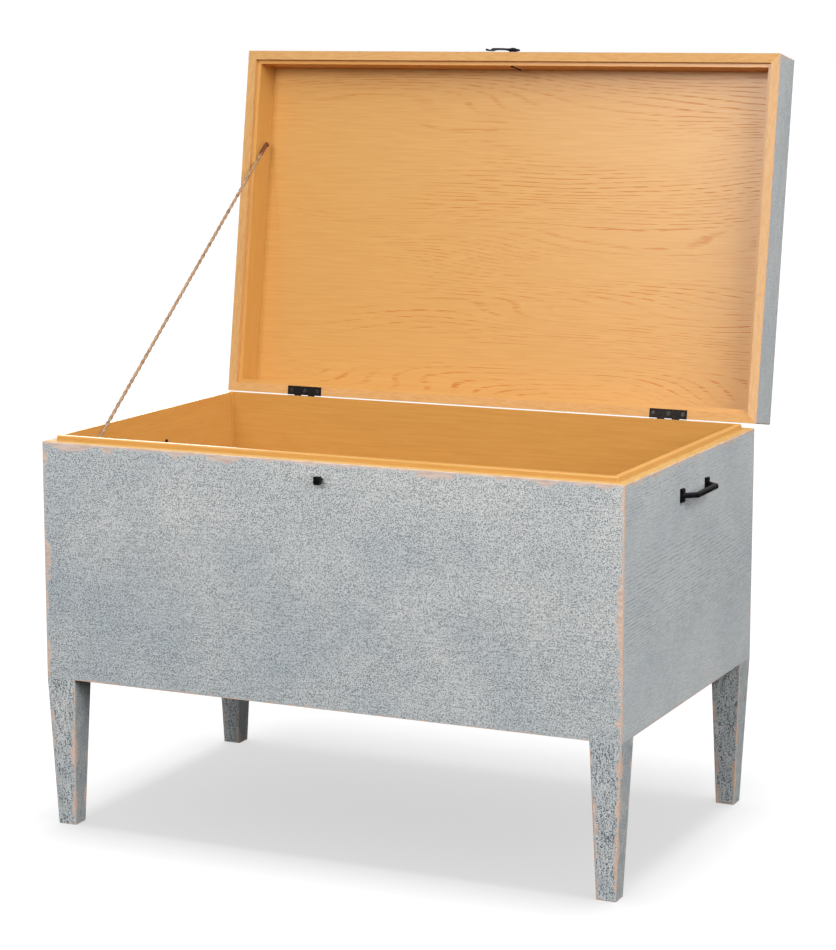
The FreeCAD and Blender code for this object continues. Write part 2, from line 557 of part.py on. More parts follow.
# Stay rope from the box's left lining to the lid's, straight while the lid is open. Each end is
# bound in a sleeve with a round-headed screw through it.
BOX_SKIN = "(wall + liner)"
SLEEVE_OFF = "sleeve_dia / 2 + side_play"
LOWER = [
    "-width / 2 + %s + %s" % (BOX_SKIN, SLEEVE_OFF),
    "-depth / 2 + stay_inset",
    BOX_TOP + " - stay_drop",
]
UPPER_SHUT = [
    "-width / 2 + %s + %s" % (LID_SKIN, SLEEVE_OFF),
    "depth / 2 - stay_reach",
    RIM + " + stay_rise",
]
ARM = "(stay_reach + pivot_back)"
RISE = "(stay_rise + lid_gap / 2)"
UPPER = [
    UPPER_SHUT[0],
    "(%s - cos(open_angle) * %s + sin(open_angle) * %s)" % (PIVOT_Y, ARM, RISE),
    "(%s + sin(open_angle) * %s + cos(open_angle) * %s)" % (PIVOT_Z, ARM, RISE),
]
lower = FreeCAD.Vector(*(value(text) for text in LOWER))
upper = FreeCAD.Vector(*(value(text) for text in UPPER))
along = (upper - lower).normalize()
STAY_LENGTH = "sqrt(%s)" % " + ".join("(%s - (%s)) ^ 2" % pair for pair in zip(UPPER, LOWER))
ROPE_START = "(sleeve_length - sleeve_end)"
ROPE_LENGTH = "(%s - 2 * %s)" % (STAY_LENGTH, ROPE_START)


def stay_span(label, group, radius, start, length):
    piece = new_piece(label, group)
    span = piece.newObject("PartDesign::AdditiveCylinder", "span")
    turned = FreeCAD.Rotation(FreeCAD.Vector(0, 0, 1), along)
    span.Placement = FreeCAD.Placement(lower + along * value(start), turned)
    span.setExpression("Radius", formula(radius))
    span.setExpression("Height", formula(length))
    return piece


def stay_screw(label, group, place, seat, woods):
    # seat is the lining's face; the screw goes through the sleeve into the woods behind it
    head = ["-width / 2 + %s + sleeve_dia + 2 * side_play" % seat, place[1], place[2]]
    screw = new_piece(label, group)
    rod(screw, head, "x", "stay_head_dia / 2", "stay_head")
    dome = value(head[0] + " + stay_head")
    round_edges(screw, "stay_head_round",
                lambda edge: all(abs(vertex.X - dome) < 0.01 for vertex in edge.Vertexes))
    rod(screw, head, "-x", "stay_screw_dia / 2", "sleeve_dia + 2 * side_play + stay_screw_length")
    for wood in woods:
        rod(wood, head, "-x", "stay_screw_dia / 2 + fit_gap",
            "sleeve_dia + 2 * side_play + stay_screw_length + fit_gap", cut=True)


rope = stay_span("stay_rope", trunk_pieces, "rope_dia / 2", ROPE_START, ROPE_LENGTH)
lower_sleeve = stay_span("rope_lower_sleeve", trunk_pieces, "sleeve_dia / 2", "0 - sleeve_end",
                         "sleeve_length")
upper_sleeve = stay_span("rope_upper_sleeve", open_pieces, "sleeve_dia / 2",
                         "%s - %s" % (STAY_LENGTH, ROPE_START), "sleeve_length")
stay_screw("rope_lower_screw", trunk_pieces, LOWER, BOX_SKIN, (liners["left"], walls["left"]))
stay_screw("rope_upper_screw", lid_pieces, UPPER_SHUT, LID_SKIN, (lid_liners["left"], rails["left"]))
for sleeve, place in ((lower_sleeve, LOWER), (upper_sleeve, UPPER)):
    rod(sleeve, ["-width / 2", place[1], place[2]], "x", "stay_screw_dia / 2 + fit_gap", "width / 2",
        cut=True)

# Open the lid about its hinge pins
doc.recompute()
pivot = FreeCAD.Vector(0, value(PIVOT_Y), value(PIVOT_Z))
swing = FreeCAD.Rotation(FreeCAD.Vector(1, 0, 0), -value("open_angle"))
for body in lid_pieces + hook_pieces:
    body.Placement = FreeCAD.Placement(FreeCAD.Vector(), swing, pivot)
pieces = trunk_pieces + lid_pieces + hook_pieces + open_pieces

doc.recompute()

for thing in doc.Objects:
    if "Invalid" in thing.State or "Error" in thing.State:
        owners = [parent.Label for parent in thing.InList]
        raise RuntimeError("failed: %s in %s" % (thing.Label, owners))
for body in pieces:
    if body.Shape.isNull() or not body.Shape.isValid() or body.Shape.Volume <= 0:
        raise RuntimeError("bad shape: " + body.Label)

# Move everything so that the origin is at the bottom centre of the open table
whole = FreeCAD.BoundBox()
for body in pieces:
    for solid in body.Shape.Solids:
        whole.add(solid.optimalBoundingBox(False, False))
shift = FreeCAD.Vector(-whole.Center.x, -whole.Center.y, -whole.ZMin)
for body in pieces:
    body.Placement = FreeCAD.Placement(shift, FreeCAD.Rotation()) * body.Placement
doc.recompute()

os.makedirs("parts", exist_ok=True)
for body in pieces:
    body.Shape.exportStep("parts/%s.step" % body.Label)
    print("%-26s %2d solids %11.1f mm3" % (body.Label, len(body.Shape.Solids), body.Shape.Volume))

# Places that the record repeats, in the finished part's own frame
def told(name, point):
    print("%-22s %9.3f %9.3f %9.3f" % (name, *point))


hook_pivot = FreeCAD.Vector(value("hook_x"), value("-depth / 2"), value(HOOK_Z))
stud = FreeCAD.Vector(value("stud_x"), value("-depth / 2"), value(STUD_Z))
reach = stud - hook_pivot
told("size", (whole.XLength, whole.YLength, whole.ZLength))
told("shift", shift)
told("lid pivot", pivot + shift)
told("hook pivot", pivot + swing.multVec(hook_pivot - pivot) + shift)
told("hook axis", swing.multVec(FreeCAD.Vector(0, -1, 0)))
told("stay lower", lower + shift)
told("stay upper", upper + shift)
print("stay between screws %.1f mm" % value(STAY_LENGTH))
print("rope between sleeves %.1f mm" % value(ROPE_LENGTH))
print("rope volume ratio %.5f" % (rope.Shape.Volume / value("%s * pi * rope_dia ^ 2 / 4" % ROPE_LENGTH)))
print("stud from hook pivot %.2f mm" % reach.Length)
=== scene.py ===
# Trunk side table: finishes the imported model, adds the stay rope and sets the studio
import math

import bpy
from mathutils import Matrix, Vector


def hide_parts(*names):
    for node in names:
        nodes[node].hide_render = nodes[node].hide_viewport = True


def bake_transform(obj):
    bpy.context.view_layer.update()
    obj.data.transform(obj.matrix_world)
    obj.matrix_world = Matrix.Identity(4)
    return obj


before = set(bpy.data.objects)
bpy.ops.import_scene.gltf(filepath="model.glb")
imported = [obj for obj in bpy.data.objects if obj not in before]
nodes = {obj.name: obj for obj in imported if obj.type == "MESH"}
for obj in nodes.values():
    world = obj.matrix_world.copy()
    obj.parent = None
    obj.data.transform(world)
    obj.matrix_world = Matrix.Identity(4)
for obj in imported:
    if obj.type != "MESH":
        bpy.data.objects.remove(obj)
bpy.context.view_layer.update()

scene = bpy.context.scene
millimetre = 0.001
print("frame loaded:", len(nodes), "nodes")


def toLinear(hexText):
    # sRGB hex to the linear colour that Blender works in
    channels = [int(hexText[i:i + 2], 16) / 255 for i in (0, 2, 4)]
    return [c / 12.92 if c <= 0.04045 else ((c + 0.055) / 1.055) ** 2.4 for c in channels] + [1.0]


def scaleOf(size):
    # the scale of a texture whose pattern is this many mm across, on coordinates in metres
    return 1 / (size * millimetre)


def addNode(tree, kind, links=None, stops=None, **settings):
    # links: socket to a node (its first output), to a (node, output) pair or to a plain value. A Mix node has
    # its share at socket 0, values at 2 and 3 and colours at 6 and 7, and gives the mixed colour at output 2
    node = tree.nodes.new("ShaderNode" + kind)
    for key, value in settings.items():
        setattr(node, key, value)
    for key, value in (links or {}).items():
        source = value if isinstance(value, tuple) else (value, 0)
        if isinstance(source[0], bpy.types.Node):
            tree.links.new(source[0].outputs[source[1]], node.inputs[key])
        else:
            node.inputs[key].default_value = value
    if stops:
        ramp = node.color_ramp
        while len(ramp.elements) < len(stops):
            ramp.elements.new(1.0)
        for element, (position, hexText) in zip(ramp.elements, stops):
            element.position = position
            element.color = toLinear(hexText)
    return node


def newMaterial(name):
    material = bpy.data.materials.new(name)
    material.use_nodes = True
    material.node_tree.nodes.clear()
    return material, material.node_tree


def dress(names, material):
    for name in names:
        for slot in nodes[name].material_slots:
            slot.material = material


def addPiece(name, mesh, material):
    piece = bpy.data.objects.new(name, mesh)
    mesh.materials.append(material)
    scene.collection.objects.link(piece)
    return piece


# The camera stands where the photograph was taken from; the picture is 836 by 950
camera = {
    "place": (1.387884, -3.028742, 0.977886),
    "tilt": 80.4795,       # degrees up from looking straight down
    "turn": 24.765,        # degrees to the left
    "lens": 116.1933,      # mm
    "sensor": 36.0,        # mm across
}
lens = bpy.data.cameras.new("camera")
lens.lens = camera["lens"]
lens.sensor_width = camera["sensor"]
lens.sensor_fit = "HORIZONTAL"
eye = bpy.data.objects.new("camera", lens)
eye.location = camera["place"]
eye.rotation_euler = (math.radians(camera["tilt"]), 0, math.radians(camera["turn"]))
scene.collection.objects.link(eye)
scene.camera = eye
print("camera placed")


# Twisted jute: dry, hairy plant fibre, spun hard and laid up in two strands, without any shine
stayRope = {
    "route": ((-0.353415, -0.218284, 0.453381), (-0.353519, -0.195183, 0.470911),
              (-0.355381, 0.217138, 0.783798), (-0.355485, 0.240239, 0.801329)),
    "routeSteps": 48,      # how finely the route is drawn
    "length": 0.5756,
    "diameter": 0.0048,
    "strands": 2,
    "strandRadius": 0.0015,
    "strandOffset": 0.0009,
    "lay": 0.0224,         # one turn of a strand
    "stepsPerLay": 16,
    "sides": 10,
    "light": "BC9D7F",
    "body": "9B7D60",
    "dark": "5E402B",
    "roughness": 0.9,
    "specular": 0.25,
    "yarn": 0.9,           # mm from one yarn to the next, as coarse as shows
    "yarnShape": 0.4,      # a fibre's width over its length
    "yarnLean": 0.6,       # radians between the yarns and their strand
    "blotch": 8.333,       # mm from one darker stretch to the next
    "blotchShare": 0.35,
}


def ropeMaterial():
    # the map named lay holds mm along the rope and round a strand
    material, tree = newMaterial("twisted_jute")
    lay = addNode(tree, "UVMap", uv_map="lay")
    yarns = addNode(tree, "Mapping", {"Vector": lay, "Rotation": (0, 0, stayRope["yarnLean"]),
                                      "Scale": (stayRope["yarnShape"], 1.0, 1.0)})
    fibre = addNode(tree, "TexNoise", {"Vector": yarns, "Scale": 1 / stayRope["yarn"], "Detail": 3.0,
                                       "Roughness": 0.7})
    blotch = addNode(tree, "TexNoise", {"Vector": lay, "Scale": 1 / stayRope["blotch"], "Detail": 1.0})
    tone = addNode(tree, "Mix", {0: stayRope["blotchShare"], 2: fibre, 3: blotch}, data_type="FLOAT")
    colour = addNode(tree, "ValToRGB", {0: tone}, stops=[
        (0.34, stayRope["dark"]), (0.48, stayRope["body"]), (0.62, stayRope["light"])])
    bump = addNode(tree, "Bump", {"Height": fibre, "Strength": 0.5, "Distance": 0.4 * millimetre})
    shader = addNode(tree, "BsdfPrincipled", {"Base Color": colour, "Roughness": stayRope["roughness"],
                                              "Specular IOR Level": stayRope["specular"], "Normal": bump})
    addNode(tree, "OutputMaterial", {0: shader})
    return material


def splineLine(points):
    # the route's NURBS spline as the points that Blender draws it with
    curve = bpy.data.curves.new("stay_route", "CURVE")
    curve.dimensions = "3D"
    curve.resolution_u = stayRope["routeSteps"]
    spline = curve.splines.new("NURBS")
    spline.points.add(len(points) - 1)
    for controlPoint, place in zip(spline.points, points):
        controlPoint.co = (*place, 1.0)
    spline.order_u = 3
    spline.use_endpoint_u = True
    holder = bpy.data.objects.new("stay_route", curve)
    line = [vertex.co.copy() for vertex in bpy.data.meshes.new_from_object(holder).vertices]
    bpy.data.objects.remove(holder)
    return line


def stepAlong(line, count):
    # count + 1 points, evenly spaced along the line, and the line's length
    travelled = [0.0]
    for start, end in zip(line, line[1:]):
        travelled.append(travelled[-1] + (end - start).length)
    placed, stretch = [], 0
    for number in range(count + 1):
        wanted = travelled[-1] * number / count
        while stretch < len(line) - 2 and travelled[stretch + 1] < wanted:
            stretch += 1
        share = (wanted - travelled[stretch]) / (travelled[stretch + 1] - travelled[stretch])
        placed.append(line[stretch].lerp(line[stretch + 1], min(1.0, share)))
    return placed, travelled[-1]


def strandRing(rope, centre, ahead, turn):
    # the corners of one strand, where it stands at this turn round the rope's centre line
    across = Vector((1, 0, 0)).cross(ahead).normalized()
    over = ahead.cross(across)
    out = across * math.cos(turn) + over * math.sin(turn)
    side = ahead.cross(out)
    middle = centre + out * rope["strandOffset"]
    ring = []
    for corner in range(rope["sides"]):
        angle = 2 * math.pi * corner / rope["sides"]
        spread = out * math.cos(angle) + side * math.sin(angle)
        ring.append(middle + spread * rope["strandRadius"])
    return ring


def twistedStrands(rope):
    line = splineLine(rope["route"])
    steps = round(rope["length"] / rope["lay"] * rope["stepsPerLay"])
    centres, length = stepAlong(line, steps)
    sides = rope["sides"]
    girth = 2 * math.pi * rope["strandRadius"]
    vertices, faces, lays = [], [], []
    for strand in range(rope["strands"]):
        first = len(vertices)
        for number, centre in enumerate(centres):
            ahead = centres[min(number + 1, steps)] - centres[max(number - 1, 0)]
            ahead.normalize()
            along = length * number / steps
            turn = 2 * math.pi * (along / rope["lay"] + strand / rope["strands"])
            vertices += strandRing(rope, centre, ahead, turn)
            lays += [(along / millimetre, girth * corner / sides / millimetre) for corner in range(sides)]
        for number in range(steps):
            for corner in range(sides):
                here = first + number * sides
                following = (corner + 1) % sides
                faces.append((here + corner, here + following,
                              here + sides + following, here + sides + corner))
        last = first + steps * sides
        faces.append(tuple(first + corner for corner in reversed(range(sides))))
        faces.append(tuple(last + corner for corner in range(sides)))
    mesh = bpy.data.meshes.new("stay_strands")
    mesh.from_pydata(vertices, [], faces)
    layer = mesh.uv_layers.new(name="lay")
    for loop in mesh.loops:
        layer.data[loop.index].uv = lays[loop.vertex_index]
    mesh.polygons.foreach_set("use_smooth", [len(polygon.vertices) == 4 for polygon in mesh.polygons])
    mesh.update()
    return mesh, centres


strandMesh, ropeCentres = twistedStrands(stayRope)
rope = addPiece("stay_strands", strandMesh, ropeMaterial())
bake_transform(rope)
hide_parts("stay_rope")
print("rope laid up")


# Box coordinates have their origin under the middle of the box, and the lid's are those of the shut lid
box = {
    "halfWidth": 0.375,
    "halfDepth": 0.231,
    "middle": -0.061623,   # the frame's y in the middle of the box
    "foot": 0.186,
    "rim": 0.479,
    "legTop": 0.039,       # across a leg at the box and at the floor
    "legFoot": 0.024,
    "floorMiddle": 0.2105,  # half way through the bottom board
    "lidRim": 0.4794,
    "lidTop": 0.5394,
    "panelMiddle": 0.5334,  # half way through the lid's board
    "pivot": (0, 0.173777, 0.4792),
    "openAngle": 98.7,     # degrees from shut to the lid as modelled
}
levels = {                 # where each painted shape begins and ends in height
    "box": (box["foot"], box["rim"]),
    "leg": (0.0, box["foot"]),
    "lid": (box["lidRim"], box["lidTop"]),
}
lidTurn = math.radians(box["openAngle"])
shutPivot = Vector(box["pivot"]) - Vector((0, box["middle"], 0))
lidShift = shutPivot - Matrix.Rotation(lidTurn, 3, "X") @ Vector(box["pivot"])
trunkPlace = {"Location": (0, -box["middle"], 0)}
lidPlace = {"Location": tuple(lidShift), "Rotation": (lidTurn, 0, 0)}


def alongBoard(tree, spot, along, shape, seed=0.0):
    # coordinates that draw a pattern out along the grain: shape is its width over its length, and the seed
    # gives each board its own part of it
    stretch = [1.0, 1.0, 1.0]
    stretch["xyz".index(along)] = shape
    return addNode(tree, "Mapping", {"Vector": spot, "Location": (seed, seed * 0.7, seed * 1.3),
                                     "Scale": stretch})


def growthRings(tree, spot, plank, across, gap, bowSize, bowDepth):
    # the rings of a flat-sawn plank as a wave across it, a crest in each gap, and the noise that bows them
    bow = addNode(tree, "TexNoise", {"Vector": plank, "Scale": scaleOf(bowSize), "Detail": 1.0,
                                     "Roughness": 0.4})
    level = addNode(tree, "VectorMath", {0: spot, 1: across}, operation="DOT_PRODUCT")
    phase = addNode(tree, "Math", {0: bow, 1: bowDepth, 2: (level, 1)}, operation="MULTIPLY_ADD")
    phase = addNode(tree, "Math", {0: phase, 1: 2 * math.pi * scaleOf(gap)}, operation="MULTIPLY")
    return addNode(tree, "Math", {0: phase}, operation="SINE"), bow


# Limed chalk paint on brushed oak: dead flat and cool grey, the darker undercoat showing as fine specks and
# grain lines, and rubbed through at the edges to a pale primer and the bare arris
limedPaint = {
    "light": "D2D2CF",
    "body": "C0C3C4",
    "cool": "AEB6BB",
    "slate": "525C61",
    "primer": "CFBBB0",
    "primerShade": "BDA598",
    "arris": "C9A58C",
    "roughness": 0.75,
    "specular": 0.3,
    "relief": {"Strength": 0.4, "Distance": 0.4 * millimetre},
    "speck": 1.12,         # mm from one speck to the next, as fine as shows
    "speckShape": 0.8,     # width over length, as for the streaks
    "speckBites": 0.04,    # how much more the specks gather where the coat is bitten
    "streak": 2.0,         # mm across a streak of the brush
    "streakShape": 0.14,
    "grain": 4.2,          # mm between two lines of the grain
    "bow": 111.11,         # mm over which the lines bow
    "bite": 33.333,        # mm from one rubbed bite to the next
    "notch": 3.0303,       # mm from one notch in a bite's border to the next
    "wander": 11.0,        # mm that the notches move the border
    "arrisWander": 4.0,    # mm that they move the edge of the bare arris
    "border": 0.35,        # how cool the coat turns beside a bite
    "rimDepth": 0.4,       # mm behind the painted face where the rim begins
    # the even tone darkens a leg's end faces: painted shade, for the less light that falls on them
    "endFacesSmoothedAndShaded": (0.4, 0.26),  # on a leg's end faces: share left of the specks, and even tone instead
}


def edgeDistances(tree, axes, shape):
    # how far a spot lies behind the faces on the x and y sides, and how far in from each rubbed edge
    halfTop, halfFoot = box["legTop"] / 2, box["legFoot"] / 2
    low, high = levels[shape]
    behind = []
    for axis, half in enumerate((box["halfWidth"], box["halfDepth"])):
        offset = addNode(tree, "Math", {0: (axes, axis)}, operation="ABSOLUTE")
        if shape == "leg":  # from the middle of the leg, which tapers towards the floor
            offset = addNode(tree, "Math", {0: offset, 1: half - halfTop}, operation="SUBTRACT")
            offset = addNode(tree, "Math", {0: offset}, operation="ABSOLUTE")
            half = addNode(tree, "Math", {0: (axes, 2), 1: (halfTop - halfFoot) / high, 2: halfFoot},
                           operation="MULTIPLY_ADD")
        behind.append(addNode(tree, "Math", {0: half, 1: offset}, operation="SUBTRACT"))
    corner = addNode(tree, "Math", {0: behind[0], 1: behind[1]}, operation="MAXIMUM")
    above = addNode(tree, "Math", {0: (axes, 2), 1: low}, operation="SUBTRACT")
    if shape == "leg":
        return behind, {"corner": corner, "low": above}
    below = addNode(tree, "Math", {0: high, 1: (axes, 2)}, operation="SUBTRACT")
    if shape == "lid":  # the lid's top face is painted too, so its edges are rubbed from both sides
        nearer = addNode(tree, "Math", {0: corner, 1: below}, operation="MINIMUM")
        depth = addNode(tree, "Math", {0: behind[0], 1: behind[1]}, operation="MINIMUM")
        top = addNode(tree, "Math", {0: depth, 1: nearer}, operation="MAXIMUM")
        return behind, {"top": top, "low": above}
    # no bottom edge where a leg goes on down
    overLeg = addNode(tree, "Math", {0: corner, 1: box["legTop"]}, operation="LESS_THAN")
    bottom = addNode(tree, "Math", {0: overLeg, 1: above}, operation="ADD")
    return behind, {"top": below, "corner": corner, "low": bottom}


def rubbedEdges(tree, spot, edges, piece):
    # long bites with a ragged border, their size varied by the seed: gives the noise of the bites, where the
    # coat is gone, the border beside that, and where the arris itself is bare
    coat = limedPaint
    bites = addNode(tree, "TexNoise", {"Vector": spot, "Scale": scaleOf(coat["bite"]) + piece["seed"],
                                       "Detail": 2.0, "Roughness": 0.55})
    bite = addNode(tree, "MapRange", {"Value": bites, "From Min": 0.44, "From Max": 0.68},
                   interpolation_type="SMOOTHSTEP")
    notches = addNode(tree, "TexNoise", {"Vector": spot, "Scale": scaleOf(coat["notch"]), "Detail": 2.0,
                                         "Roughness": 0.7})
    wander, arrisWander = coat["wander"] * millimetre, coat["arrisWander"] * millimetre
    ragged = addNode(tree, "Math", {0: notches, 1: wander, 2: -wander / 2}, operation="MULTIPLY_ADD")
    rubbed = arris = None
    for edge, distance in edges.items():
        least, most, line = (size * millimetre for size in piece["rub"][edge])
        reach = addNode(tree, "Math", {0: bite, 1: most - least, 2: least}, operation="MULTIPLY_ADD")
        reach = addNode(tree, "Math", {0: reach, 1: ragged}, operation="ADD")
        past = addNode(tree, "Math", {0: reach, 1: distance}, operation="SUBTRACT")
        lineWidth = addNode(tree, "Math", {0: notches, 1: arrisWander, 2: line - arrisWander / 2},
                            operation="MULTIPLY_ADD")
        onLine = addNode(tree, "Math", {0: distance, 1: lineWidth}, operation="LESS_THAN")
        rubbed = addNode(tree, "Math", {0: rubbed, 1: past}, operation="MAXIMUM") if rubbed else past
        arris = addNode(tree, "Math", {0: arris, 1: onLine}, operation="MAXIMUM") if arris else onLine
    bare = addNode(tree, "MapRange", {"Value": rubbed, "From Min": -0.3 * millimetre,
                                      "From Max": 0.4 * millimetre})
    border = addNode(tree, "MapRange", {"Value": rubbed, "From Min": -2.5 * millimetre,
                                        "From Max": -0.4 * millimetre, "To Max": coat["border"]})
    return bites, bare, border, arris


def coatColour(tree, spot, piece):
    # the coat is cooler and thinner in places, and a painted light slope draws it lighter along a board,
    # towards the right and the top of the long walls, where more light falls
    patchSize, patchiness = piece["patch"]
    paintedLightSlope = piece.get("paintedLightSlope", (0, 0, 0))
    clouds = addNode(tree, "TexNoise", {"Vector": spot, "Scale": scaleOf(patchSize), "Detail": 2.0,
                                        "Roughness": 0.5})
    paintedLightLevel = addNode(tree, "VectorMath", {0: spot, 1: paintedLightSlope}, operation="DOT_PRODUCT")
    tone = addNode(tree, "Math", {0: clouds, 1: patchiness, 2: (paintedLightLevel, 1)}, operation="MULTIPLY_ADD")
    usual = patchiness / 2 + paintedLightSlope[2] * (box["foot"] + box["rim"]) / 2  # half way up a wall
    tone = addNode(tree, "Math", {0: tone, 1: 0.5 - usual}, operation="ADD")
    return addNode(tree, "ValToRGB", {0: tone}, stops=[
        (0.25, limedPaint["cool"]), (0.5, limedPaint["body"]), (0.75, limedPaint["light"])])


def undercoatShowing(tree, spot, axes, bites, piece):
    # the growth rings as thin broken lines, the fine specks, and the brush's streaks that both follow
    coat = limedPaint
    plank = alongBoard(tree, spot, piece["along"], coat["streakShape"], piece["seed"])
    rings, bow = growthRings(tree, spot, plank, piece["across"], coat["grain"], coat["bow"], piece["bow"])
    ringLine = addNode(tree, "MapRange", {"Value": rings, "From Min": 0.3, "From Max": 0.95})
    streaks = addNode(tree, "TexNoise", {"Vector": plank, "Scale": scaleOf(coat["streak"]), "Detail": 2.0,
                                         "Roughness": 0.6})
    broken = addNode(tree, "MapRange", {"Value": streaks, "From Min": 0.36, "From Max": 0.62})
    lean = addNode(tree, "Math", {0: (axes, 0), 1: piece.get("lean", 0.0), 2: bow},
                   operation="MULTIPLY_ADD")
    grainShare = addNode(tree, "MapRange", {"Value": lean, "From Min": 0.4, "From Max": 0.6,
                                            "To Min": piece["grain"][0], "To Max": piece["grain"][1]})
    lines = addNode(tree, "Math", {0: ringLine, 1: broken}, operation="MULTIPLY")
    lines = addNode(tree, "Math", {0: lines, 1: grainShare}, operation="MULTIPLY")
    fleck = alongBoard(tree, spot, piece["along"], coat["speckShape"])
    speckSize = coat["speck"] * piece.get("coarser", 1.0)
    specks = addNode(tree, "TexNoise", {"Vector": fleck, "Scale": scaleOf(speckSize), "Detail": 0.2})
    specks = addNode(tree, "Mix", {0: piece["streaks"], 2: specks, 3: streaks}, data_type="FLOAT")
    specks = addNode(tree, "Math", {0: bites, 1: coat["speckBites"], 2: specks}, operation="MULTIPLY_ADD")
    specks = addNode(tree, "MapRange", {"Value": specks, "From Min": 0.475, "From Max": 0.655,
                                        "To Max": piece["specks"]})
    return lines, specks, streaks


def rimLayer(tree, axes, behind, streaks, surface, piece):
    # the rim, between the painted face and the lining
    rim = addNode(tree, "ValToRGB", {0: streaks}, stops=[(0.3, piece["rimShade"]), (0.6, piece["rim"])])
    depth = addNode(tree, "Math", {0: behind[0], 1: behind[1]}, operation="MINIMUM")
    inboard = addNode(tree, "Math", {0: depth, 1: limedPaint["rimDepth"] * millimetre},
                      operation="GREATER_THAN")
    if piece["shape"] == "lid":
        onRim = addNode(tree, "Math", {0: (axes, 2), 1: box["panelMiddle"]}, operation="LESS_THAN")
        inboard = addNode(tree, "Math", {0: onRim, 1: inboard}, operation="MULTIPLY")
    return addNode(tree, "Mix", {0: inboard, 6: (surface, 2), 7: rim}, data_type="RGBA")


def paintLayer(tree, spot, axes, piece):
    # the colour and the height of the painted face, with its rim where the piece has one
    coat, shape = limedPaint, piece["shape"]
    behind, edges = edgeDistances(tree, axes, shape)
    bites, bare, border, arris = rubbedEdges(tree, spot, edges, piece)
    lines, specks, streaks = undercoatShowing(tree, spot, axes, bites, piece)
    # On a leg, the faces towards the ends of the box get fewer specks and an even darker tone; the darker
    # tone is painted shade
    if shape == "leg":  # smoother and darker on the faces towards the ends of the box
        share, paintedShadeTone = coat["endFacesSmoothedAndShaded"]
        endFacesSmoothedAndShaded = addNode(tree, "Math", {0: behind[0], 1: behind[1]}, operation="LESS_THAN")
        smoothedAndShaded = addNode(tree, "Math", {0: specks, 1: share, 2: paintedShadeTone}, operation="MULTIPLY_ADD")
        specks = addNode(tree, "Mix", {0: endFacesSmoothedAndShaded, 2: specks, 3: smoothedAndShaded}, data_type="FLOAT")
    slate = addNode(tree, "Math", {0: specks, 1: lines}, operation="MAXIMUM")
    ground = coatColour(tree, spot, piece)
    paint = addNode(tree, "Mix", {0: slate, 6: ground, 7: toLinear(coat["slate"])}, data_type="RGBA")
    edged = addNode(tree, "Mix", {0: border, 6: (paint, 2), 7: toLinear(coat["cool"])}, data_type="RGBA")
    primer = addNode(tree, "ValToRGB", {0: streaks}, stops=[
        (0.36, coat["primerShade"]), (0.58, coat["primer"])])
    worn = addNode(tree, "Mix", {0: arris, 6: primer, 7: toLinear(coat["arris"])}, data_type="RGBA")
    surface = addNode(tree, "Mix", {0: bare, 6: (edged, 2), 7: (worn, 2)}, data_type="RGBA")
    hollows = addNode(tree, "Math", {0: slate, 1: bare}, operation="ADD")
    height = addNode(tree, "Math", {0: hollows, 1: -1.0}, operation="MULTIPLY")
    if "rim" in piece:
        surface = rimLayer(tree, axes, behind, streaks, surface, piece)
    return (surface, 2), height


# Oak veneer under satin varnish: warm and even with a soft sheen, and short open pores in broken lines
honeyOak = {
    "light": "CF9C54",
    "body": "C8924A",
    "pore": "BA6E0A",
    "roughness": 0.34,
    "relief": {"Strength": 0.15, "Distance": 0.2 * millimetre},
    "fibre": 2.381,        # mm across a fibre's tone, as fine as shows
    "pores": 1.5,          # mm across a pore, three times the real width so that it shows
    "poreLength": 34.0,    # mm
    "lineGap": 6.5,        # mm between two growth rings
    "band": (45.0, 300.0),  # mm across and along a band with open pores
    "bow": 90.909,         # mm over which the rings bow
    "bowDepth": 0.18,      # metres by which they do
}


def oakLayer(tree, spot, axes, board):
    # pores stand in thin broken lines along the growth rings, close together in some bands
    wood, along, seed = honeyOak, board["along"], board["seed"]
    bandWidth, bandLength = wood["band"]
    plank = alongBoard(tree, spot, along, wood["pores"] / wood["poreLength"], seed)
    pores = addNode(tree, "TexNoise", {"Vector": plank, "Scale": scaleOf(wood["pores"]), "Detail": 1.0})
    fibre = addNode(tree, "TexNoise", {"Vector": plank, "Scale": scaleOf(wood["fibre"]), "Detail": 3.0,
                                       "Roughness": 0.6})
    wide = alongBoard(tree, spot, along, bandWidth / bandLength, seed)
    bands = addNode(tree, "TexNoise", {"Vector": wide, "Scale": scaleOf(bandWidth), "Detail": 2.0,
                                       "Roughness": 0.55})
    rings = growthRings(tree, spot, wide, board["across"], wood["lineGap"], wood["bow"],
                        wood["bowDepth"])[0]
    ringLine = addNode(tree, "MapRange", {"Value": rings, "From Min": 0.55, "From Max": 0.95})
    openPores = addNode(tree, "MapRange", {"Value": pores, "From Min": 0.45, "From Max": 0.56})
    dense = addNode(tree, "Math", {0: (axes, 0), 1: board.get("lean", 0.0), 2: bands},
                    operation="MULTIPLY_ADD")
    dense = addNode(tree, "MapRange", {"Value": dense, "From Min": 0.44, "From Max": 0.68,
                                       "To Max": board["marks"]})
    mark = addNode(tree, "Math", {0: ringLine, 1: openPores}, operation="MULTIPLY")
    mark = addNode(tree, "Math", {0: mark, 1: dense}, operation="MULTIPLY")
    ground = addNode(tree, "ValToRGB", {0: fibre}, stops=[
        (0.3, board.get("body", wood["body"])), (0.7, board.get("light", wood["light"]))])
    colour = addNode(tree, "Mix", {0: mark, 6: ground, 7: toLinear(wood["pore"])}, data_type="RGBA")
    height = addNode(tree, "Math", {0: mark, 1: -1.0}, operation="MULTIPLY")
    if "under" in board:  # painted on its underside
        below = addNode(tree, "Math", {0: (axes, 2), 1: box["floorMiddle"]}, operation="LESS_THAN")
        colour = addNode(tree, "Mix", {0: below, 6: (colour, 2), 7: toLinear(board["under"])},
                         data_type="RGBA")
    return (colour, 2), height


panelRelief = {"Strength": 0.3, "Distance": 0.3 * millimetre}


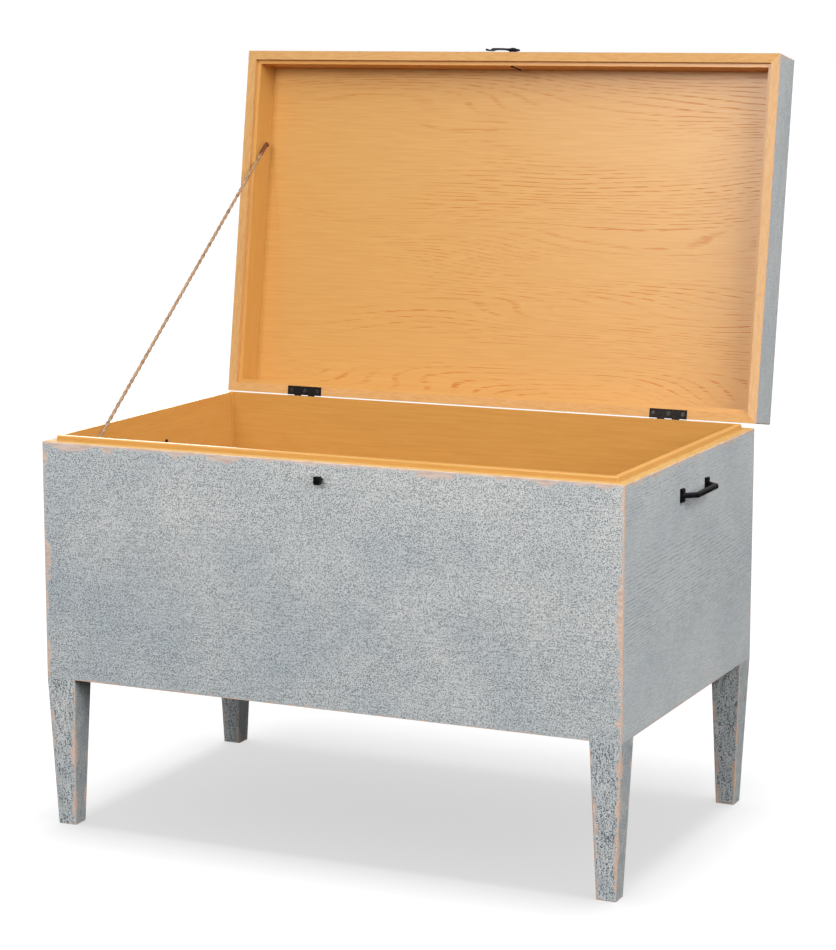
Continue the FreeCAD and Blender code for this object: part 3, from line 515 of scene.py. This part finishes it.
def boardMaterial(name, place, paint=None, oak=None):
    material, tree = newMaterial(name)
    coordinates = addNode(tree, "TexCoord")
    spot = addNode(tree, "Mapping", {"Vector": (coordinates, "Object"), **place})
    axes = addNode(tree, "SeparateXYZ", {0: spot})
    if paint:
        colour, height = paintLayer(tree, spot, axes, paint)
        finish = {"Base Color": colour, "Roughness": limedPaint["roughness"],
                  "Specular IOR Level": limedPaint["specular"]}
        relief = {"Height": height, **limedPaint["relief"]}
    if oak:
        oakColour, oakHeight = oakLayer(tree, spot, axes, oak)
        if paint:  # painted above the middle of the board, varnished below it
            outside = addNode(tree, "Math", {0: (axes, 2), 1: box["panelMiddle"]}, operation="GREATER_THAN")
            both = addNode(tree, "Mix", {0: outside, 6: oakColour, 7: colour}, data_type="RGBA")
            sheen = addNode(tree, "MapRange", {"Value": outside, "To Min": honeyOak["roughness"],
                                               "To Max": limedPaint["roughness"]})
            bothHeight = addNode(tree, "Mix", {0: outside, 2: oakHeight, 3: height}, data_type="FLOAT")
            finish = {"Base Color": (both, 2), "Roughness": sheen}
            relief = {"Height": bothHeight, **panelRelief}
        else:
            finish = {"Base Color": oakColour, "Roughness": honeyOak["roughness"]}
            relief = {"Height": oakHeight, **honeyOak["relief"]}
    finish["Normal"] = addNode(tree, "Bump", relief)
    shader = addNode(tree, "BsdfPrincipled", finish)
    addNode(tree, "OutputMaterial", {0: shader})
    return material


primerRim = {"rim": "D3B9A8", "rimShade": "BE9C86"}
# The box's bare rims are drawn a little darker than the lid's, a painted shade against the strong light from
# above on them
shadedBoxRim = {"rim": "C8A263", "rimShade": "BA9052"}
lidRim = {"rim": "D1A166", "rimShade": "C69358"}
# The lid's right rim is drawn paler than the others: a painted sheen
paintedSheenRim = {"rim": "D6AD7E", "rimShade": "CDA070"}

# How each painted piece is brushed and worn, with what each entry means beside the front's
frontPaint = {
    "shape": "box",
    "along": "x",          # the way the grain runs
    "across": (0, 0, 1),   # the way its lines follow each other
    "seed": 2.3,
    "grain": (0.05, 0.36),  # least and most strength of the lines
    "lean": 0.15,          # how much sooner they grow strong towards the right
    "bow": 0.09,           # metres by which they bow
    "specks": 0.76,        # strength of the specks
    "streaks": 0.14,       # how far the specks run into streaks
    "patch": (110.0, 0.6),  # mm across a patch of the coat, and how far its tone goes
    # painted light: the coat is drawn lighter along each axis, towards the right and the top, as the light
    # falls on the walls
    "paintedLightSlope": (0.15, 0, 0.5),  # how the coat's tone climbs along each axis
    **shadedBoxRim,
    "rub": {               # mm by which an edge is rubbed, least and most, and mm of bare arris
        "top": (3.0, 10.0, -2.0),
        "corner": (2.2, 9.0, 1.2),
        "low": (0.3, 2.4, 0.8),
    },
}
sidePaint = {
    "shape": "box", "along": "y", "across": (0, 0, 1), "seed": 5.1,
    "grain": (0.2, 0.6), "bow": 0.035, "specks": 0.43, "streaks": 0.25,
    "patch": (90.0, 0.5), **shadedBoxRim,
    "rub": {"top": (2.5, 7.0, -2.0), "corner": (1.6, 4.0, 1.0), "low": (0.3, 2.0, 0.6)},
}
legPaint = {
    "shape": "leg", "along": "z", "across": (0.7, 0.7, 0), "seed": 3.7,
    "grain": (0.2, 0.7), "bow": 0.1, "specks": 1.0, "streaks": 0.4, "coarser": 1.2,
    "patch": (24.0, 0.7),
    "rub": {"corner": (0.7, 6.5, 1.2), "low": (0.2, 2.0, 0.5)},
}
lidPaint = {
    "shape": "lid", "along": "x", "across": (0, 0, 1), "seed": 9.2,
    "grain": (0.2, 0.6), "bow": 0.2, "specks": 0.5, "streaks": 0.3,
    "patch": (90.0, 0.4), **lidRim,
    "rub": {"top": (0.6, 4.0, 1.0), "low": (1.0, 5.0, 0.5)},
}
backPaint = {**frontPaint, "seed": 11.4}
leftPaint = {**sidePaint, **primerRim, "seed": 7.9}
endRailPaint = {**lidPaint, "along": "y", "seed": 6.6}
panelPaint = {**lidPaint, "across": (0, 1, 0)}

# The oak's marks are the strength of its pores, and more of them open towards the right end by lean
longLining = {"along": "x", "across": (0, 0, 1), "marks": 0.2, "seed": 1.1}
endLining = {"along": "y", "across": (0, 0, 1), "marks": 0.2, "seed": 4.2}
# The box's front and back linings are a darker copy of the same oak: painted shade inside the box
shadedBoxLining = {**longLining, "light": "C6944C", "body": "BE8A43"}
# The lid's front liner, which faces down, is a lighter and redder copy of the same oak: painted light
litLidFrontLining = {**longLining, "light": "DEA152", "body": "D69748"}
floorOak = {**longLining, "under": "8A9194"}
beadOak = {**longLining, "along": "z", "across": (0.7, 0.7, 0)}
panelOak = {"along": "x", "across": (0, 1, 0), "marks": 0.97, "seed": 8.3, "lean": 0.42}

# Each finish with where its boards stand, their paint, their oak and the nodes that have it
boards = {
    "limed_paint_front": (trunkPlace, frontPaint, None, ["front_wall"]),
    "limed_paint_back": (trunkPlace, backPaint, None, ["back_wall"]),
    "limed_paint_right": (trunkPlace, sidePaint, None, ["right_wall"]),
    "limed_paint_left": (trunkPlace, leftPaint, None, ["left_wall"]),
    "limed_paint_legs": (trunkPlace, legPaint, None, ["leg_front_left", "leg_front_right", "leg_back_left",
                                                      "leg_back_right"]),
    "limed_paint_lid": (lidPlace, lidPaint, None, ["lid_front_rail", "lid_back_rail"]),
    "limed_paint_lid_left": (lidPlace, endRailPaint, None, ["lid_left_rail"]),
    "limed_paint_lid_right": (lidPlace, {**endRailPaint, **paintedSheenRim}, None, ["lid_right_rail"]),
    "lid_board": (lidPlace, panelPaint, panelOak, ["lid_panel"]),
    "honey_oak_long": (trunkPlace, None, shadedBoxLining, ["front_liner", "back_liner"]),
    "honey_oak_floor": (trunkPlace, None, floorOak, ["floor_board"]),
    "honey_oak_ends": (trunkPlace, None, endLining, ["left_liner", "right_liner"]),
    "honey_oak_beads": (trunkPlace, None, beadOak, ["corner_beads"]),
    "honey_oak_lid_front": (lidPlace, None, litLidFrontLining, ["lid_front_liner"]),
    "honey_oak_lid_back": (lidPlace, None, longLining, ["lid_back_liner"]),
    "honey_oak_lid_ends": (lidPlace, None, endLining, ["lid_left_liner", "lid_right_liner"]),
}
for name, (place, paint, oak, boardNodes) in boards.items():
    dress(boardNodes, boardMaterial(name, place, paint, oak))
print("paint and lining done")


# Small parts, each finish with its common name: colour from dark to light, roughness, metal, the size of its
# marks in mm and how deep they look
smallFinishes = {
    # forged iron, blackened and waxed: near black, slightly dimpled, a dull broken shine
    "black_iron": {
        "dark": "0E0E10", "light": "222224", "roughness": 0.45, "metallic": 0.9, "mark": 3.0, "relief": 0.5,
        "on": ["left_handle", "right_handle", "left_handle_screws", "right_handle_screws", "catch_stud",
               "hook", "hook_pin", "hook_washer"]},
    # stamped steel leaf, black oxide worn thin: brown black with greyer rubs
    "antiqued_steel": {
        "dark": "151414", "light": "302C29", "roughness": 0.42, "metallic": 0.9, "mark": 2.2, "relief": 0.25,
        "on": ["left_hinge_box_leaf", "right_hinge_box_leaf", "left_hinge_lid_leaf",
               "right_hinge_lid_leaf", "left_hinge_pin", "right_hinge_pin"]},
    # turned steel screws, black oxide rubbed brighter in spots on the heads
    "oxide_screws": {
        "dark": "100F0F", "light": "5A5550", "roughness": 0.36, "metallic": 0.9, "mark": 1.6, "relief": 0.2,
        "on": ["trunk_hinge_screws", "lid_hinge_screws"]},
    # turned brass screws, bronzed red brown: smooth, a soft metal shine
    "bronzed_screws": {
        "dark": "54291C", "light": "86543C", "roughness": 0.42, "metallic": 0.6, "mark": 2.0, "relief": 0.2,
        "on": ["rope_lower_screw", "rope_upper_screw"]},
    # turned and zinc plated: pale, faintly blotched, a soft metal shine
    "zinc_plated_steel": {
        "dark": "9DA2A6", "light": "C9CDD0", "roughness": 0.35, "metallic": 1.0, "mark": 4.0, "relief": 0.1,
        "on": ["leg_bolts", "leg_inserts"]},
    # planed softwood, unfinished: pale, dry, soft growth lines
    "planed_pine": {
        "dark": "C79B63", "light": "E0BD88", "roughness": 0.7, "metallic": 0.0, "mark": 5.0, "relief": 0.3,
        "on": ["corner_block_front_left", "corner_block_front_right", "corner_block_back_left",
               "corner_block_back_right"]},
    # brown shrink tube over the rope's end: smooth, slightly ribbed by the strands beneath
    "shrunk_tube": {
        "dark": "552C1D", "light": "8C5238", "roughness": 0.45, "metallic": 0.0, "mark": 3.5, "relief": 0.4,
        "on": ["rope_lower_sleeve", "rope_upper_sleeve"]},
}


def smallMaterial(name, finish):
    # dark spots shine a little more than light ones
    material, tree = newMaterial(name)
    coordinates = addNode(tree, "TexCoord")
    marks = addNode(tree, "TexNoise", {"Vector": (coordinates, "Object"), "Scale": scaleOf(finish["mark"]),
                                       "Detail": 3.0, "Roughness": 0.6})
    colour = addNode(tree, "ValToRGB", {0: marks}, stops=[(0.35, finish["dark"]), (0.7, finish["light"])])
    shine = addNode(tree, "MapRange", {"Value": marks, "From Min": 0.3, "From Max": 0.7,
                                       "To Min": finish["roughness"] - 0.08,
                                       "To Max": finish["roughness"] + 0.1})
    bump = addNode(tree, "Bump", {"Height": marks, "Strength": finish["relief"],
                                  "Distance": 0.4 * millimetre})
    shader = addNode(tree, "BsdfPrincipled", {"Base Color": colour, "Roughness": shine,
                                              "Metallic": finish["metallic"], "Normal": bump})
    addNode(tree, "OutputMaterial", {0: shader})
    return material


for name, finish in smallFinishes.items():
    dress(finish["on"], smallMaterial(name, finish))
print("small parts done")


# Plain white studio: a pale horizon, a softer sky above it and a dim room below, soft boxes in front, on the
# right and behind, an even light from overhead that falls along the open lid, and the floor's own sun
studio = {
    "sky": [(0.47, "303030"), (0.488, "FFFFFF"), (0.512, "FFFFFF"), (0.53, "6C6C6C"), (0.75, "D4D4D4")],
    "floorColour": "959595",
    "floorGlow": 0.607,
    "floorReach": 60.0,
    "aim": (0, 0, 0.45),   # what the soft boxes face
    "boxes": {
        "front": {"place": (-0.41, -3.13, 1.97), "size": 1.2, "power": 64.0},
        "right": {"place": (3.5, -1.95, 2.6), "size": 2.8, "power": 160.0},
        "back": {"place": (-2.2, 3.6, 2.4), "size": 2.4, "power": 120.0},
    },
    "suns": {              # strength, lean towards the front and spread in degrees
        "overhead": (1.0, -8.7, 12.0),
        "floor_sun": (3.3, -3.5, 20.0),
    },
}
scene.view_settings.view_transform = "Standard"


def studioSky():
    world = bpy.data.worlds.new("studio")
    world.use_nodes = True
    world.node_tree.nodes.clear()
    tree = world.node_tree
    direction = addNode(tree, "SeparateXYZ", {0: (addNode(tree, "TexCoord"), "Generated")})
    upward = addNode(tree, "MapRange", {"Value": (direction, 2), "From Min": -1.0, "From Max": 1.0})
    tone = addNode(tree, "ValToRGB", {0: upward}, stops=studio["sky"])
    background = addNode(tree, "Background", {"Color": tone})
    addNode(tree, "OutputWorld", {0: background})
    return world


def studioFloor():
    # pale matt paper that glows a little, so that it runs out into the white of the horizon
    material, tree = newMaterial("studio_floor")
    shader = addNode(tree, "BsdfPrincipled", {
        "Base Color": toLinear(studio["floorColour"]), "Roughness": 0.9, "Specular IOR Level": 0.0,
        "Emission Color": toLinear("FFFFFF"), "Emission Strength": studio["floorGlow"]})
    addNode(tree, "OutputMaterial", {0: shader})
    reach = studio["floorReach"]
    corners = [(-reach, -reach, 0), (reach, -reach, 0), (reach, reach, 0), (-reach, reach, 0)]
    mesh = bpy.data.meshes.new("floor")
    mesh.from_pydata(corners, [], [(0, 1, 2, 3)])
    return addPiece("floor", mesh, material)


def hangLight(name, lamp, lit):
    light = bpy.data.objects.new(name, lamp)
    light.light_linking.receiver_collection = lit
    scene.collection.objects.link(light)
    return light


scene.world = studioSky()
floor = studioFloor()
floor.visible_diffuse = False
floor.visible_glossy = False
floor.visible_shadow = False

# The table and the floor are lit apart, so the shadow stays as soft and even as in the picture
onFloor = bpy.data.collections.new("floor_only")
offFloor = bpy.data.collections.new("all_but_floor")
for group, state in ((onFloor, "INCLUDE"), (offFloor, "EXCLUDE")):
    group.objects.link(floor)
    group.collection_objects[0].light_linking.link_state = state
for name, softBox in studio["boxes"].items():
    lamp = bpy.data.lights.new(name, "AREA")
    lamp.shape = "SQUARE"
    lamp.size = softBox["size"]
    lamp.energy = softBox["power"]
    light = hangLight(name, lamp, offFloor)
    light.location = softBox["place"]
    light.rotation_euler = (Vector(studio["aim"]) - light.location).to_track_quat("-Z", "Y").to_euler()
    light.visible_camera = False
for name, (strength, leanAngle, spread) in studio["suns"].items():
    lamp = bpy.data.lights.new(name, "SUN")
    lamp.energy = strength
    lamp.angle = math.radians(spread)
    light = hangLight(name, lamp, onFloor if name == "floor_sun" else offFloor)
    light.rotation_euler = (math.radians(leanAngle), 0, 0)
print("studio lit")
